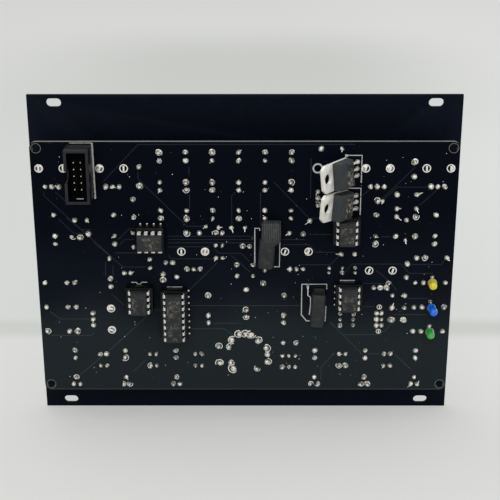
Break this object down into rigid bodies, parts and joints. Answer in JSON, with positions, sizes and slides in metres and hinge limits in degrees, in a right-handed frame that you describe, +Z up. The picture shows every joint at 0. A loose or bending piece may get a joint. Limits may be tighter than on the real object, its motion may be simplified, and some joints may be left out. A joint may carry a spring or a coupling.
{
  "type": "eurorack module",
  "caption": "Rack synthesizer module: black front panel with jacks, knobs and switches, and behind it a circuit board with chips, regulators and a shrouded power header.",
  "frame": {"origin": "on the front panel's rear face, midway between its two upper slots, where the upper rail seats", "axes": "+X to the right as seen from behind, +Z up, -Y out of the back; the controls face +Y"},
  "size_m": [0.1624, 0.0472, 0.1285],
  "materials": {
    "panel": "matte black glass-epoxy sheet",
    "board": "satin black solder mask with bright joints",
    "moulding": "satin black moulding with bright pins",
    "jack": "satin black housing with a nickel bush and nut",
    "chip": "dull dark grey moulding with tinned legs",
    "regulator": "tinned tab with a dull black moulded body",
    "sleeve": "dull black shrunk sleeve",
    "nickel": "nickel plated",
    "knob": "satin black",
    "lens_yellow": "clear tinted lens",
    "lens_blue": "clear tinted lens",
    "lens_green": "clear tinted lens"
  },
  "bodies": {
    "module": {"front_panel": "panel", "circuit_board": "board", "power_header": "moulding", "chip_1": "chip", "chip_2": "chip", "chip_3": "chip", "chip_4": "chip", "chip_5": "chip", "regulator_1": "regulator", "regulator_2": "regulator", "optocoupler_1": "sleeve", "optocoupler_2": "sleeve", "lamp_yellow": "lens_yellow", "lamp_blue": "lens_blue", "lamp_green": "lens_green", "jack_top_1": "jack", "jack_top_2": "jack", "jack_top_3": "jack", "jack_top_4": "jack", "jack_top_5": "jack", "jack_top_6": "jack", "jack_top_7": "jack", "jack_top_8": "jack", "jack_top_9": "jack", "jack_top_10": "jack", "jack_top_11": "jack", "jack_top_12": "jack", "jack_left_1": "jack", "jack_left_2": "jack", "jack_left_3": "jack", "jack_right_1": "jack", "jack_right_2": "jack", "jack_right_3": "jack", "jack_right_4": "jack", "jack_bottom_1": "jack", "jack_bottom_2": "jack", "jack_bottom_3": "jack", "jack_bottom_4": "jack", "jack_bottom_5": "jack", "jack_bottom_6": "jack", "rotary_switch": "moulding", "toggle_switch": "nickel"},
    "knob_1": {"knob_1": "knob"},
    "knob_2": {"knob_2": "knob"},
    "knob_3": {"knob_3": "knob"},
    "knob_4": {"knob_4": "knob"},
    "knob_5": {"knob_5": "knob"},
    "knob_6": {"knob_6": "knob"},
    "knob_7": {"knob_7": "knob"},
    "knob_8": {"knob_8": "knob"},
    "rotary_knob": {"rotary_knob": "knob"},
    "button_1": {"button_1": "knob"},
    "button_2": {"button_2": "knob"},
    "button_3": {"button_3": "knob"},
    "button_4": {"button_4": "knob"},
    "button_5": {"button_5": "knob"},
    "button_6": {"button_6": "knob"},
    "tact_button": {"tact_button": "knob"},
    "toggle_lever": {"toggle_lever": "nickel"},
    "slide_lever": {"slide_lever": "knob"}
  },
  "joints": [
    {"name": "knob_1_turn", "type": "hinge", "parent": "module", "child": "knob_1", "pos_m": [-0.0712, 0, -0.02175], "axis": [0, 1, 0], "range_deg": [-150, 150]},
    {"name": "knob_2_turn", "type": "hinge", "parent": "module", "child": "knob_2", "pos_m": [-0.0489, 0, -0.02175], "axis": [0, 1, 0], "range_deg": [-150, 150]},
    {"name": "knob_3_turn", "type": "hinge", "parent": "module", "child": "knob_3", "pos_m": [0.0489, 0, -0.02175], "axis": [0, 1, 0], "range_deg": [-150, 150]},
    {"name": "knob_4_turn", "type": "hinge", "parent": "module", "child": "knob_4", "pos_m": [0.0712, 0, -0.02175], "axis": [0, 1, 0], "range_deg": [-150, 150]},
    {"name": "knob_5_turn", "type": "hinge", "parent": "module", "child": "knob_5", "pos_m": [-0.0195, 0, -0.05415], "axis": [0, 1, 0], "range_deg": [-150, 150]},
    {"name": "knob_6_turn", "type": "hinge", "parent": "module", "child": "knob_6", "pos_m": [0.0195, 0, -0.05415], "axis": [0, 1, 0], "range_deg": [-150, 150]},
    {"name": "knob_7_turn", "type": "hinge", "parent": "module", "child": "knob_7", "pos_m": [-0.05144, 0, -0.08173], "axis": [0, 1, 0], "range_deg": [-150, 150]},
    {"name": "knob_8_turn", "type": "hinge", "parent": "module", "child": "knob_8", "pos_m": [0.05144, 0, -0.06175], "axis": [0, 1, 0], "range_deg": [-150, 150]},
    {"name": "rotary_turn", "type": "hinge", "parent": "module", "child": "rotary_knob", "pos_m": [0.0012, 0, -0.09535], "axis": [0, 1, 0], "range_deg": [-165, 165]},
    {"name": "button_1_press", "type": "slide", "parent": "module", "child": "button_1", "axis": [0, -1, 0], "range_m": [0, 0.0005], "stiffness_N_per_m": 400, "springref_m": -0.0015},
    {"name": "button_2_press", "type": "slide", "parent": "module", "child": "button_2", "axis": [0, -1, 0], "range_m": [0, 0.0005], "stiffness_N_per_m": 400, "springref_m": -0.0015},
    {"name": "button_3_press", "type": "slide", "parent": "module", "child": "button_3", "axis": [0, -1, 0], "range_m": [0, 0.0005], "stiffness_N_per_m": 400, "springref_m": -0.0015},
    {"name": "button_4_press", "type": "slide", "parent": "module", "child": "button_4", "axis": [0, -1, 0], "range_m": [0, 0.0005], "stiffness_N_per_m": 400, "springref_m": -0.0015},
    {"name": "button_5_press", "type": "slide", "parent": "module", "child": "button_5", "axis": [0, -1, 0], "range_m": [0, 0.0005], "stiffness_N_per_m": 400, "springref_m": -0.0015},
    {"name": "button_6_press", "type": "slide", "parent": "module", "child": "button_6", "axis": [0, -1, 0], "range_m": [0, 0.0005], "stiffness_N_per_m": 400, "springref_m": -0.0015},
    {"name": "tact_button_press", "type": "slide", "parent": "module", "child": "tact_button", "axis": [0, -1, 0], "range_m": [0, 0.0005], "stiffness_N_per_m": 400, "springref_m": -0.0015},
    {"name": "toggle_flip", "type": "hinge", "parent": "module", "child": "toggle_lever", "pos_m": [0.0171, 0.0013, -0.09885], "axis": [1, 0, 0], "range_deg": [-24, 0]},
    {"name": "slide_throw", "type": "slide", "parent": "module", "child": "slide_lever", "axis": [0, 0, 1], "range_m": [0, 0.002]}
  ]
}
